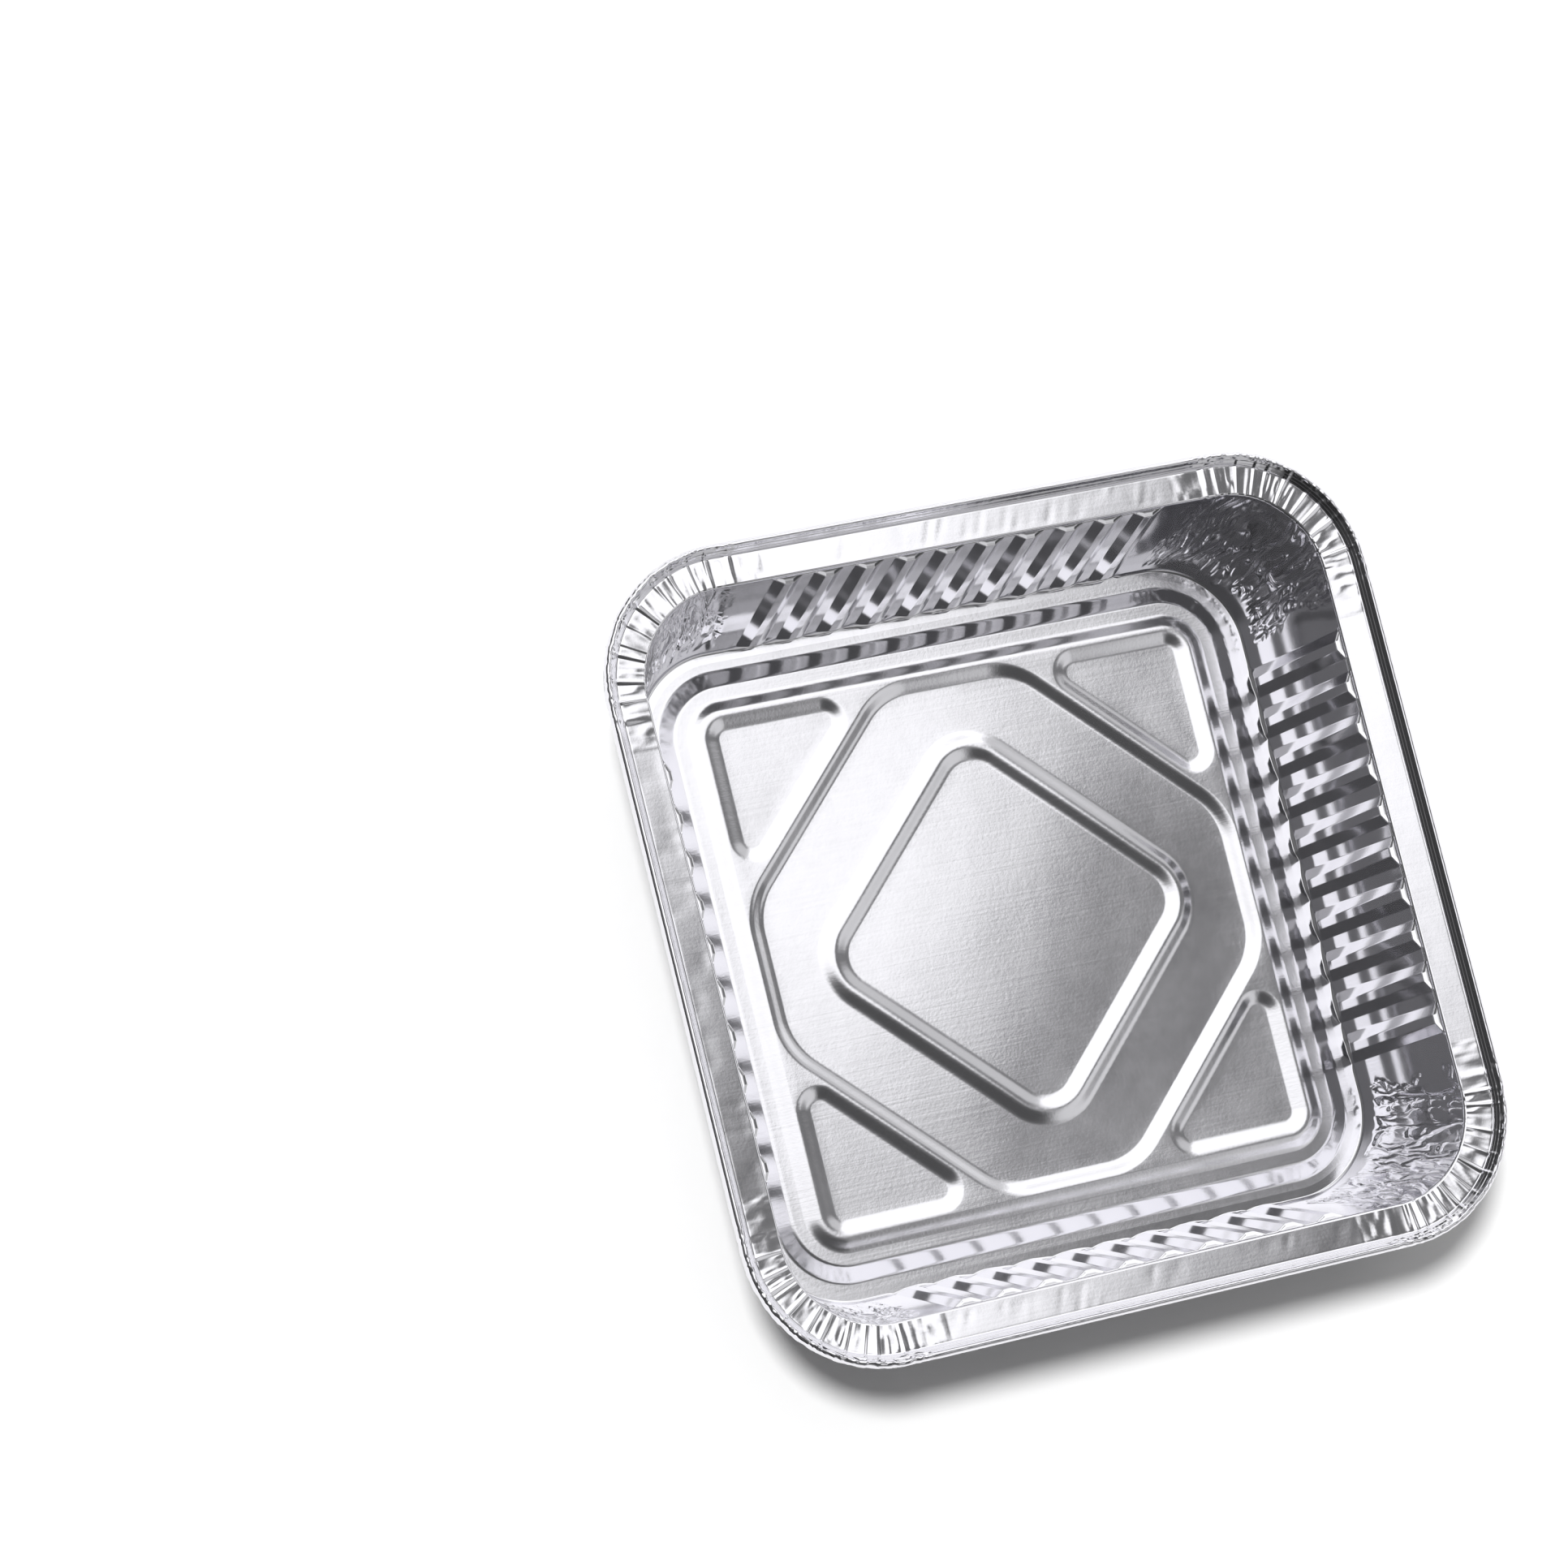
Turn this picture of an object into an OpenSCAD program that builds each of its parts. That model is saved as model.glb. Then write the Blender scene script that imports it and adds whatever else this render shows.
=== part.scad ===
// Square cake pan pressed from one sheet of aluminium foil: an embossed floor on a foot ring,
// fluted walls, gathered corners, a flat flange and a rolled rim.
// Origin: middle of the pan, on the surface that it stands on. +Z up. Millimetres.

/* [Pan] */
// Width across the rolled rim
rim_w = 235; // [225:1:245]
// Height from the foot ring to the top of the rim
height = 51; // [45:1:60]
// Thickness of the sheet, drawn thicker than real foil
sheet = 0.5; // [0.4:0.05:0.6]
// Corner radius of the rim, on the outside
rim_r = 40; // [38:1:44]

/* [Walls] */
// Width of the floor between the feet of the walls
floor_w = 191; // [188:1:193]
// Corner radius at the foot of the walls
foot_r = 26; // [24:1:28]
// Flutes in each wall
flutes = 10; // [6:1:10]
// Distance from one flute to the next
flute_pitch = 12.4; // [11:0.1:12.6]
// Width of a flute where it leaves the wall
flute_base = 8.8; // [7:0.2:9.4]
// Width of a flute's flat front
flute_front = 2.6; // [2:0.2:4]
// How far a flute stands into the pan
flute_depth = 1.4; // [1:0.1:1.8]
// Length of the sloped end of a flute, below the flange
flute_top_end = 1.8; // [1:0.2:3]
// Length of the sloped end of a flute, above the floor
flute_foot_end = 6.2; // [4:0.2:7]

/* [Rim] */
// Width of the flat flange, from the wall to the rolled rim
flange_w = 8.6; // [7:0.2:9]
// Width of the rolled rim
roll_w = 2.6; // [2.2:0.1:2.8]
// Height of the rolled rim
roll_h = 4; // [3.4:0.1:4.4]
// Height of the rim's top above the flange
rim_rise = 3; // [2:0.2:3.4]
// Pleats in the flange at each corner
corner_pleats = 14; // [8:1:16]
// Gathers in the wall at each corner
corner_gathers = 13; // [8:1:14]

/* [Floor] */
// Height of the floor's raised middle above the foot ring
step_h = 2; // [1.5:0.1:2.5]
// Height of the raised border above the raised middle
border_h = 0.9; // [0.5:0.1:1.2]
// Depth of the eight-sided panel below the border
panel_depth = 1.2; // [0.6:0.1:1.6]
// Height of the diamond ridge in the panel
ridge_h = 0.9; // [0.5:0.1:1.2]

/* [Hidden] */
seed = 7;
arc_steps = 6;
rim_facets = 36;
tiny = 0.01;
rim_half = rim_w / 2;
floor_half = floor_w / 2;
corner_at = rim_half - rim_r;
flange_z = height - rim_rise;
// Width of the small slope between the flange and the rolled edge
rise_run = 1.3;
// Share of a fold's height that the sheet moves sideways in it
fold_share = 0.7;
wall_half = rim_half - roll_w - rise_run - flange_w;
wall_r = wall_half - corner_at;
draft = atan((wall_half - floor_half) / flange_z);
wall_len = flange_z / cos(draft);
// Size of the bend at the flange and at the floor
fold = 0.9;
foot_fold = 2.2;
// Distance of a flute's foot from the floor, up the wall
flute_foot = 0.9;
// Angles at which the rolled edge starts and ends, round its own middle
curl_start = 200;
curl_end = -130;
curl_step = 30;
// Pleats of the flange: heights, gap to the wall, width at the wall and at the rolled edge
pleat_low = 0.35;
pleat_high = 0.7;
pleat_gap = 1.4;
pleat_in_w = 0.5;
pleat_out_w = 1.3;
// Gathers of the wall: depths, height of their feet, size of the foot and width of the top
gather_low = 0.4;
gather_high = 0.8;
gather_foot_z = 7;
gather_stagger = 5;
gather_foot_d = 0.3;
gather_foot_w = 0.6;
gather_top_w = 1.4;
// Half widths and corner radii of the floor's square steps, from the foot ring inwards
ring_w = 5.7;
step_w = 4.4;
strip_w = 4.5;
slope = 3.1;
ring_half = floor_half - ring_w;
ring_r = foot_r - 2;
middle_half = ring_half - step_w;
middle_r = ring_r - step_w;
border_half = middle_half - strip_w;
border_r = 11;
frame_half = border_half - slope;
frame_r = border_r - slope;
// Eight-sided panel: half width, distance to its corner-facing sides and corner radius
panel_half = frame_half - 1.6;
panel_diag = panel_half - 7;
panel_r = 22;
// Corner triangles: outer side, side that faces the panel, radii of the sharp corners and the square one
tri_half = frame_half - 1.9;
tri_diag = panel_diag + 1.7;
tri_r = 7;
tri_outer_r = frame_r - 2;
// Diamond ridge: half width at its foot, width of its flat top, corner radius
ridge_half = 46;
ridge_top = 1.6;
ridge_r = 17;
middle_z = step_h;
border_z = step_h + border_h;
panel_z = border_z - panel_depth;
ridge_z = panel_z + ridge_h;

// Rounded outline of a polygon: arcs of radius radii[i] in its corners
function unit(v) = v / norm(v);
function corner_arc(p, before, after, r) =
    let (u = unit(before - p), v = unit(after - p))
    let (half = acos(u * v) / 2, out = unit(u + v))
    let (middle = p + out * r / sin(half), side = cross([u.x, u.y, 0], [v.x, v.y, 0]).z > 0 ? 1 : -1)
    let (facing = atan2(-out.y, -out.x), reach = 90 - half)
    [for (i = [0 : arc_steps]) let (a = facing + side * reach * (1 - 2 * i / arc_steps))
        middle + r * [cos(a), sin(a)]];
function rounded(points, radii) = [for (i = [0 : len(points) - 1])
    each corner_arc(points[i], points[(i + len(points) - 1) % len(points)],
        points[(i + 1) % len(points)], radii[i])];
function same(r, n) = [for (i = [1 : n]) r];

module square_slab(half, r, z) {
    points = [[half, -half], [half, half], [-half, half], [-half, -half]];
    translate([0, 0, z]) linear_extrude(tiny) polygon(rounded(points, same(r, 4)));
}

module panel_slab(half, diag, r, z) {
    near = diag * sqrt(2) - half;
    points = [[half, -near], [half, near], [near, half], [-near, half],
        [-half, near], [-half, -near], [-near, -half], [near, -half]];
    translate([0, 0, z]) linear_extrude(tiny) polygon(rounded(points, same(r, 8)));
}

module diamond_slab(half, r, z) {
    rotate([0, 0, 45]) square_slab(half, r, z);
}

module triangle_slab(half, diag, tip_r, z) {
    near = diag * sqrt(2) - half;
    points = [[half, near], [half, half], [near, half]];
    translate([0, 0, z]) linear_extrude(tiny) polygon(rounded(points, [tip_r, tri_outer_r, tip_r]));
}

// Embossing of the floor, as a solid whose top is the pressed surface
module embossing() {
    difference() {
        union() {
            hull() {
                square_slab(ring_half, ring_r, -tiny);
                square_slab(middle_half, middle_r, middle_z - tiny);
            }
            hull() {
                square_slab(border_half, border_r, middle_z - 2 * tiny);
                square_slab(frame_half, frame_r, border_z - tiny);
            }
        }
        for (turn = [0 : 90 : 270]) rotate([0, 0, turn]) hull() {
            triangle_slab(tri_half, tri_diag, tri_r, border_z);
            triangle_slab(tri_half - slope, tri_diag + slope, tri_r - slope, middle_z);
        }
        hull() {
            panel_slab(panel_half, panel_diag, panel_r, border_z);
            panel_slab(panel_half - slope, panel_diag - slope, panel_r - slope, panel_z);
        }
    }
    difference() {
        hull() {
            diamond_slab(ridge_half, ridge_r, panel_z - tiny);
            diamond_slab(ridge_half - slope, ridge_r - slope, ridge_z - tiny);
        }
        hull() {
            diamond_slab(ridge_half - slope - ridge_top, ridge_r - slope - ridge_top, ridge_z);
            diamond_slab(ridge_half - 2 * slope - ridge_top, ridge_r - 2 * slope - ridge_top, panel_z);
        }
    }
}

// One flute, in the wall's own plane: x along the wall, y up it, z into the pan
module flute() {
    length = wall_len - flute_foot - fold;
    front = length - flute_foot_end - flute_top_end;
    translate([0, flute_foot + length / 2, 0]) hull() {
        translate([0, 0, -sheet]) cube([flute_base, length, 2 * tiny], center = true);
        cube([flute_base, length, 2 * tiny], center = true);
        translate([0, (flute_foot_end - flute_top_end) / 2, flute_depth])
            cube([flute_front, front, 2 * tiny], center = true);
    }
}

// The flutes of all four walls, moved out of the pan by a distance
module all_flutes(out) {
    first = -(flutes - 1) / 2;
    for (turn = [0 : 90 : 270]) rotate([0, 0, turn])
        for (i = [0 : flutes - 1])
            translate([floor_half, (first + i) * flute_pitch, 0])
                rotate([0, draft, 0]) translate([out, 0, 0])
                    rotate([90, 0, -90]) flute();
}

// Inside of the walls, with a soft fold at the floor and at the flange
module cavity() {
    low_half = floor_half - foot_fold * fold_share;
    hull() {
        square_slab(low_half, foot_r - foot_fold * fold_share, sheet);
        square_slab(floor_half + foot_fold * tan(draft), foot_r, sheet + foot_fold * fold_share);
        square_slab(wall_half - fold * tan(draft), wall_r, flange_z - fold);
    }
    hull() {
        square_slab(wall_half - fold * tan(draft), wall_r, flange_z - fold - tiny);
        square_slab(wall_half + fold * fold_share, wall_r + fold * fold_share, flange_z);
    }
}

// Outside of the walls
module body() {
    low_half = floor_half + sheet - foot_fold * fold_share;
    hull() {
        square_slab(low_half, foot_r + sheet - foot_fold * fold_share, 0);
        square_slab(floor_half + sheet + foot_fold * tan(draft), foot_r + sheet, foot_fold * fold_share);
        square_slab(wall_half + sheet, wall_r + sheet, flange_z - sheet);
    }
}

// Section of the flange, the small rise and the rolled edge; x is measured from the corner's centre
module rim_section() {
    roll_x = rim_r - roll_w / 2;
    roll_z = height - roll_h / 2;
    rise_x = rim_r - roll_w - rise_run;
    flange_x = wall_r - 2 * sheet;
    translate([flange_x, flange_z - sheet]) square([rise_x + sheet - flange_x, sheet]);
    polygon([[rise_x - sheet / 2, flange_z - sheet / 2], [rise_x + sheet, flange_z - sheet],
        [roll_x - roll_w / 2 + sheet, roll_z], [roll_x - roll_w / 2, roll_z + sheet]]);
    outer = [for (a = [curl_start : -curl_step : curl_end])
        [roll_x + roll_w / 2 * cos(a), roll_z + roll_h / 2 * sin(a)]];
    inner = [for (a = [curl_end : curl_step : curl_start])
        [roll_x + (roll_w / 2 - sheet) * cos(a), roll_z + (roll_h / 2 - sheet) * sin(a)]];
    polygon(concat(outer, inner));
}

module rim() {
    for (turn = [0 : 90 : 270]) rotate([0, 0, turn]) {
        translate([corner_at, corner_at, 0]) rotate_extrude(angle = 90, $fn = rim_facets) rim_section();
        translate([corner_at, corner_at + tiny, 0]) rotate([90, 0, 0])
            linear_extrude(2 * (corner_at + tiny)) rim_section();
    }
}

// Pressed pleats that take up the sheet in the corners of the flange
module flange_pleats() {
    heights = rands(pleat_low, pleat_high, corner_pleats, seed);
    rise_x = rim_r - roll_w - rise_run;
    for (turn = [0 : 90 : 270]) rotate([0, 0, turn]) translate([corner_at, corner_at, flange_z])
        for (i = [0 : corner_pleats - 1]) rotate([0, 0, 90 * (i + 0.5) / corner_pleats]) hull() {
            translate([wall_r + pleat_gap, 0, 0]) cube([tiny, pleat_in_w, heights[i]], center = true);
            translate([rise_x, 0, 0]) cube([tiny, pleat_out_w, 2 * heights[i]], center = true);
        }
}

// Upright gathers in the corners of the walls, on the inside
module wall_gathers() {
    depths = rands(gather_low, gather_high, corner_gathers, seed + 1);
    foot_at = floor_half - foot_r;
    top_at = wall_half - wall_r;
    for (turn = [0 : 90 : 270]) rotate([0, 0, turn])
        for (i = [0 : corner_gathers - 1]) {
            a = 90 * (i + 0.5) / corner_gathers;
            toward = [cos(a), sin(a), 0];
            low = gather_foot_z + gather_stagger * depths[corner_gathers - 1 - i];
            share = low / flange_z;
            foot = [1, 1, 0] * (foot_at + (top_at - foot_at) * share)
                + toward * (foot_r + (wall_r - foot_r) * share) + [0, 0, low];
            top = [top_at, top_at, flange_z - fold] + toward * wall_r;
            hull() {
                translate(foot) rotate([0, 0, a]) cube([gather_foot_d, gather_foot_w, tiny], center = true);
                translate(top) rotate([0, 0, a]) cube([2 * depths[i], gather_top_w, tiny], center = true);
            }
        }
}

module pan() {
    color([0.78, 0.78, 0.8]) {
        difference() {
            union() {
                body();
                rim();
            }
            embossing();
            all_flutes(sheet);
            difference() {
                cavity();
                translate([0, 0, sheet]) embossing();
                all_flutes(0);
                wall_gathers();
            }
        }
        flange_pleats();
    }
}

pan();
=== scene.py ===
"""Square foil cake pan: embossed floor, fluted walls, gathered corners and a rolled rim.

Lengths are millimetres until a mesh, a lamp or the camera is made. Origin: middle of the pan, on the
surface that it stands on. +X right, +Y away from the near edge, +Z up.
"""

import math

import bpy
import numpy as np
from mathutils import Euler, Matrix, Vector
from mathutils.geometry import delaunay_2d_cdt


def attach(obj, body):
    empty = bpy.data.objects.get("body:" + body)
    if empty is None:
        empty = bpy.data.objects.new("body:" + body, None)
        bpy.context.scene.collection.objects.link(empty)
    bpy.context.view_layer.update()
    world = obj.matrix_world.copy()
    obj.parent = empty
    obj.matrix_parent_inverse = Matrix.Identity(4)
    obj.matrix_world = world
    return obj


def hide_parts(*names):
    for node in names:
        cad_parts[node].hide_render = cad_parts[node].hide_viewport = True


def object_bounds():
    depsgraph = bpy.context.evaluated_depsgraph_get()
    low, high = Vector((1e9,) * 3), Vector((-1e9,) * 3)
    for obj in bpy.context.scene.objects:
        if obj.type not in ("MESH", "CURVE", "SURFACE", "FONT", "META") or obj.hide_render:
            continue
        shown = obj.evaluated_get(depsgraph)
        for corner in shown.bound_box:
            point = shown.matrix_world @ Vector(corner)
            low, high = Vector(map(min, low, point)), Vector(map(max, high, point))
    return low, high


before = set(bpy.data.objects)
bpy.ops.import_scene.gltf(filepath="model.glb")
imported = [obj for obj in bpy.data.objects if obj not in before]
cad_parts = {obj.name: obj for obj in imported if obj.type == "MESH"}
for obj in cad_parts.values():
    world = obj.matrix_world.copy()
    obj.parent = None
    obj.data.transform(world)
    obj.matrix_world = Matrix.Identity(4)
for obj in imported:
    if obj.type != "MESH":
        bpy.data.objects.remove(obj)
solid_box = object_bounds()
MM = 0.001

# Pan, with its outer sizes read from the solid
rim_half = solid_box[1].x / MM
height = solid_box[1].z / MM
rim_radius = 40.0
corner_at = rim_half - rim_radius
sheet = 0.3
floor_half = 95.5
foot_radius = 26.0
foot_corner_at = floor_half - foot_radius
ring_edge = floor_half - 3.0

# Rim: flange, rise and rolled edge
flange_z = height - 3.0
flange_width = 8.6
flange_lift = 0.1
side_dips = (0.4, -0.12, 0.2, 0.32)
side_wrinkles = (0.008, 0.03, 0.035, 0.025)
dip_reach = 7.0
roll_width = 2.6
roll_height = 4.0
rise_run = 1.3
rise_slant = ((0.12, 0.08), (0.26, 0.28), (0.66, 0.86), (0.78, 0.94), (0.92, 1.02), (1.32, 1.60),
              (1.44, 1.68), (1.58, 1.76), (1.98, 2.34), (2.14, 2.56), (2.28, 2.72))
roll_squareness = 2.6
roll_crinkle = 0.04
corner_crinkles = (0.22, 0.16)
rim_side_cells = 180
pleat_count = 12
pleat_ends = 8.0
pleat_steps = (0.16, 0.42)
wall_half = rim_half - roll_width - rise_run - flange_width
wall_radius = wall_half - corner_at
draft = math.atan((wall_half - floor_half) / (flange_z - sheet))
wall_length = (flange_z - sheet) / math.cos(draft)
foot_inside = 0.15
foot_inside_swell = 0.7
foot_climb = 0.1
foot_climb_swell = 0.65
foot_wander = 0.3
corner_foot_swell = 0.5
top_tangent = 0.6

# Flutes
flute_count = 10
flute_pitch = 12.4
flute_base = 8.8
flute_front = 2.6
flute_depth = 1.4
flute_start = 0.6
flute_foot_run = 2.2
flute_top_run = 1.05
flute_top_gap = 0.9
fold_half = 0.12
bead_height = 0.34
bead_half = 0.27
side_end = 64.0

# Unevenness and creases of the sheet, as heights
wall_unevenness = 0.012
floor_unevenness = (0.05, 0.010, 0.002)
wide_fold = 0.22
fine_fold = 0.11
cross_fold = 0.07
long_crease = 0.50
short_crease = 0.36
corner_flat = 14
corner_arc_cells = 150

# Floor
step_height = 2.0
border_height = 0.9
panel_depth = 1.2
ridge_height = 0.9
step_outer = 89.8
step_run = 4.4
border_outer = 80.9
slope_run = 3.1
frame_half = border_outer - slope_run
panel_half = frame_half - 1.6
panel_diagonal = panel_half - 7.0
panel_radius = 22.0
triangle_half = frame_half - 1.9
triangle_diagonal = panel_diagonal + 1.7
triangle_radius = 6.5
ridge_half = 46.2
ridge_top = 1.6
ridge_radius = 17.0
floor_rise = 1.3


def fade(low, high, x):
    """0 below low, 1 above high, smooth between."""
    t = np.clip((x - low) / (high - low), 0, 1)
    return t * t * (3 - 2 * t)


class Noise:
    """Smooth seeded noise from -1 to 1 on a plane."""

    size = 256

    def __init__(self, seed):
        self.table = np.random.default_rng(seed).uniform(-1, 1, (self.size, self.size))

    def __call__(self, u, v):
        u, v = np.broadcast_arrays(u, v)
        iu, iv = np.floor(u).astype(int), np.floor(v).astype(int)
        fu, fv = fade(0, 1, u - iu), fade(0, 1, v - iv)
        iu, iv = iu % self.size, iv % self.size
        ju, jv = (iu + 1) % self.size, (iv + 1) % self.size
        low = self.table[iu, iv] * (1 - fu) + self.table[ju, iv] * fu
        high = self.table[iu, jv] * (1 - fu) + self.table[ju, jv] * fu
        return low * (1 - fv) + high * fv

    def ridges(self, u, v):
        """Sharp crests at 1 over broad valleys."""
        return 1 - 2 * np.abs(self(u, v))


class Facets(Noise):
    """Seeded noise from -1 to 1 with flat facets and sharp folds between them."""

    def __call__(self, u, v):
        u, v = np.broadcast_arrays(u, v)
        iu, iv = np.floor(u).astype(int), np.floor(v).astype(int)
        fu, fv = u - iu, v - iv
        iu, iv = iu % self.size, iv % self.size
        ju, jv = (iu + 1) % self.size, (iv + 1) % self.size
        corner, right = self.table[iu, iv], self.table[ju, iv]
        far, opposite = self.table[iu, jv], self.table[ju, jv]
        near_half = corner + fu * (right - corner) + fv * (far - corner)
        far_half = opposite + (1 - fu) * (far - opposite) + (1 - fv) * (right - opposite)
        return np.where(fu + fv < 1, near_half, far_half)


# Section of the sheet from the floor's ring to the flange


class Section:
    """Points up the inside of the sheet: half width, height, and the normal's outward and upward part."""

    def __init__(self):
        self.rows = []

    def add(self, half, z, out, up, climb, spread=(0, 0)):
        """climb is the distance up the wall from its foot, spread how a full foot fold moves the row."""
        self.rows.append((half, z, out, up, climb) + tuple(spread))

    def arrays(self):
        return [np.array(column)[:, None] for column in zip(*self.rows)]


def wall_point(climb):
    return floor_half + climb * math.sin(draft), sheet + climb * math.cos(draft)


def wall_section(climbs):
    """Rows of the wall: ring, foot fold, the wall at the given climbs, and the fold into the flange."""
    section = Section()
    section.add(ring_edge, sheet, 0, 1, -3.0)
    turn = math.pi / 2 - draft
    inner = Vector((floor_half - foot_inside, sheet))
    inner_spread = Vector((-foot_inside_swell, 0))
    outer = Vector(wall_point(foot_climb))
    outer_spread = Vector((math.sin(draft), math.cos(draft))) * foot_climb_swell
    for back in (0.2, 0.07):
        section.add(inner.x - back, inner.y, 0, 1, -0.3 - back, inner_spread)
    for share in (0.15, 0.5, 0.85):
        place, spread = inner.lerp(outer, share), inner_spread.lerp(outer_spread, share)
        section.add(place.x, place.y, -math.sin(turn / 2), math.cos(turn / 2), 0.4 * share - 0.2, spread)
    for further in (0.07, 0.2):
        place = wall_point(foot_climb + further)
        section.add(*place, -math.cos(draft), math.sin(draft), 0.3 + further, outer_spread)
    for climb in climbs:
        section.add(*wall_point(climb), -math.cos(draft), math.sin(draft), climb)
    radius = top_tangent / math.tan(turn / 2)
    for step in range(5):
        angle = turn * (1 - step / 4)
        half = wall_half + top_tangent - radius * math.sin(angle)
        z = flange_z - radius * (1 - math.cos(angle))
        climb = wall_length + top_tangent * (step / 4 - 0.5)
        section.add(half, z, -math.sin(angle), math.cos(angle), climb)
    return section


def corner_centre(z):
    """Distance of the corner's centre from the middle, at a height."""
    return foot_corner_at + (corner_at - foot_corner_at) * np.clip((z - sheet) / (flange_z - sheet), 0, 1)


# Columns round the pan


def flute_columns():
    """Places along a side: close together at the folds of each flute, wider between."""
    places = []
    half_base, half_front = flute_base / 2, flute_front / 2
    for i in range(flute_count):
        middle = (i - (flute_count - 1) / 2) * flute_pitch
        for side in (-1, 1):
            for fold in (half_base, half_front):
                places += [middle + side * (fold + shift) for shift in (-fold_half, 0, fold_half)]
            places += [middle + side * (half_front + (half_base - half_front) * share)
                       for share in (0.12, 0.24, 0.37, 0.5, 0.63, 0.76, 0.88)]
            places += [middle + side * (half_base + share) for share in (0.6, 1.2)]
        places += [middle - 0.8, middle, middle + 0.8]
    row_end = flute_count / 2 * flute_pitch
    places += [side * (row_end + gap) for side in (-1, 1) for gap in (-1.5, -0.8, 0, 0.7, 1.3)]
    places += [-side_end, side_end]
    return np.array(sorted(set(round(x, 4) for x in places if abs(x) <= side_end)))


def corner_columns():
    """For each column of a corner: share of the way to the arc, angle round it, share of the way back."""
    shares = np.arange(1, corner_flat + 1) / (corner_flat + 1)
    angles = np.linspace(0, math.pi / 2, corner_arc_cells + 1)
    start = [(0.0, 0.0, 0.0)] + [(s, 0.0, 0.0) for s in shares]
    arc = [(1.0, a, 0.0) for a in angles]
    end = [(1.0, math.pi / 2, s) for s in shares] + [(1.0, math.pi / 2, 1.0)]
    return [np.array(column) for column in zip(*(start + arc + end))]


def side_plan(half, along):
    """Plan of a side: points (half, along) and outward directions, for rows of half widths."""
    x = half + 0 * along
    y = along + 0 * half
    return x, y, np.ones_like(x), np.zeros_like(x)


def corner_plan(half, z):
    """Plan of a corner: points and outward directions, for rows of half widths at heights."""
    to_arc, angle, back = corner_columns()
    centre = corner_centre(z)
    radius = half - centre
    cos, sin = np.cos(angle), np.sin(angle)
    x = np.where(to_arc < 1, half, centre + radius * cos) + 0 * to_arc
    y = np.where(to_arc < 1, side_end + (centre - side_end) * to_arc, centre + radius * sin)
    x = np.where(back > 0, centre + (side_end - centre) * back, x)
    return x, y, cos + 0 * x, sin + 0 * x


def corner_length():
    """Distance round a corner, at the middle of the wall, from one side's end to the next."""
    to_arc, angle, back = corner_columns()
    flat = (corner_at + foot_corner_at) / 2 - side_end + 2
    return to_arc * flat + angle * (wall_radius + foot_radius) / 2 + back * flat


def turned(points, turn):
    """The points turned by quarter turns about the upright axis."""
    cos, sin = ((1, 0), (0, 1), (-1, 0), (0, -1))[turn]
    x, y, z = points[..., 0], points[..., 1], points[..., 2]
    return np.stack([x * cos - y * sin, x * sin + y * cos, z], axis=-1)


def placed(x, y, z, out_x, out_y, out, up, lift):
    """Points moved by lift along the section's normal."""
    return np.stack([x + out_x * out * lift, y + out_y * out * lift, z + up * lift + 0 * x], axis=-1)


# Forms of the sheet


def side_dip(turn, share=0.0):
    """How far the flange's inner edge hangs: the side's own, or part of the way to the next side's."""
    return side_dips[turn] + (side_dips[(turn + 1) % 4] - side_dips[turn]) * fade(0, 1, share)


def soft_least(a, b, width):
    """The lesser of two values, rounded where they cross."""
    near = np.clip(0.5 + 0.5 * (b - a) / width, 0, 1)
    return b + (a - b) * near - width * near * (1 - near)


def flute_lift(along, climb):
    """How far the flutes stand into the pan."""
    place = along / flute_pitch + flute_count / 2
    middle = (np.clip(np.floor(place), 0, flute_count - 1) + 0.5 - flute_count / 2) * flute_pitch
    across = (flute_base / 2 - np.abs(along - middle)) / (flute_base - flute_front) * 2
    from_foot = (climb - flute_start) / flute_foot_run
    from_top = (wall_length - flute_top_gap - climb) / flute_top_run
    share = soft_least(soft_least(across, from_foot, 0.12), from_top, 0.12)
    share = soft_least(share, np.ones_like(share), 0.06)
    flute = flute_depth * -soft_least(-share, np.zeros_like(share), 0.05)
    from_crest = (from_top - np.clip(across, 0, 1)) * flute_top_run
    ends = 1 - fade(flute_count * flute_pitch / 2 - 3.0, flute_count * flute_pitch / 2 - 0.5, np.abs(along))
    return flute + bead_height * np.exp(-(from_crest / bead_half) ** 2) * ends


def foot_swell(along):
    """Share of the full fold at the foot of a side: none where each flute starts."""
    from_edge = (along + flute_base / 2) / flute_pitch + flute_count / 2 - 0.5
    return np.abs(np.sin(math.pi * from_edge)) ** 0.8


def clear_of_ends(along):
    """1 along a side, 0 at its ends, where the corners' sheets start."""
    return 1 - fade(side_end - 4.0, side_end - 0.4, np.abs(along))


def foot_line(along, climb, turn):
    """How far the fold at the foot wanders out of line, fading up the wall."""
    shift = 60.0 * turn
    wander = knobble(along / 4.6 + shift, 2.5) + 0.4 * crease(along / 1.5 + shift, 5.5)
    near_foot = fade(-3.0, -0.5, climb) * (1 - fade(1.0, 5.0, climb))
    return foot_wander * wander * clear_of_ends(along) * near_foot


ripple = Noise(3)
warp_wide = Noise(11)
warp_fine = Noise(12)
crease = Noise(13)
knobble = Noise(14)
wrinkle = Noise(16)
patches = Noise(17)
folds_wide = Facets(21)
folds_fine = Facets(23)
folds_across = Facets(24)


def thin_crease(noise, u, v):
    """Narrow creases, 1 deep, where a seeded noise crosses zero."""
    return np.maximum(noise.ridges(u, v) - 0.55, 0) / 0.45


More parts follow.
